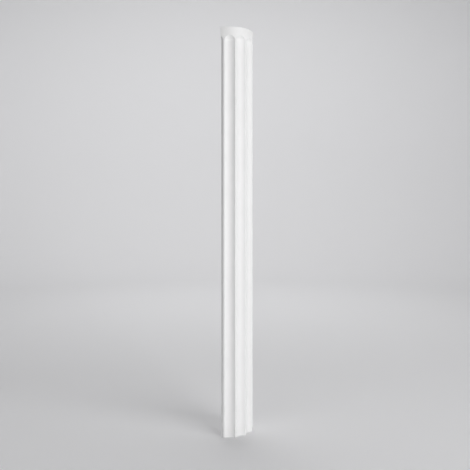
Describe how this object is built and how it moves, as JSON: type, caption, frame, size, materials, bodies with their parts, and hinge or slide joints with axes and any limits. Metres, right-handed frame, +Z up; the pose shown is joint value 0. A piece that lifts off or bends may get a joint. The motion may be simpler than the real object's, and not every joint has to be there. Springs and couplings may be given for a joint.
{
  "type": "half column shaft",
  "caption": "Half-round column shaft with a flat back for the wall, concave flutes that end in rounded heads under a plain top band, and flat-cut ends for a base and a capital.",
  "frame": {"origin": "under the middle of the shaft's bounding box, on the floor that the foot stands on", "axes": "+Z up the shaft to the plain band, +Y straight out of the flat back into the wall, -Y to the front of the half round"},
  "size_m": [0.244, 0.122, 2],
  "materials": {
    "white_primer": "smooth matte white primer on a hard polyurethane foam moulding"
  },
  "bodies": {
    "root": {"half_column_shaft": "white_primer"}
  },
  "joints": []
}
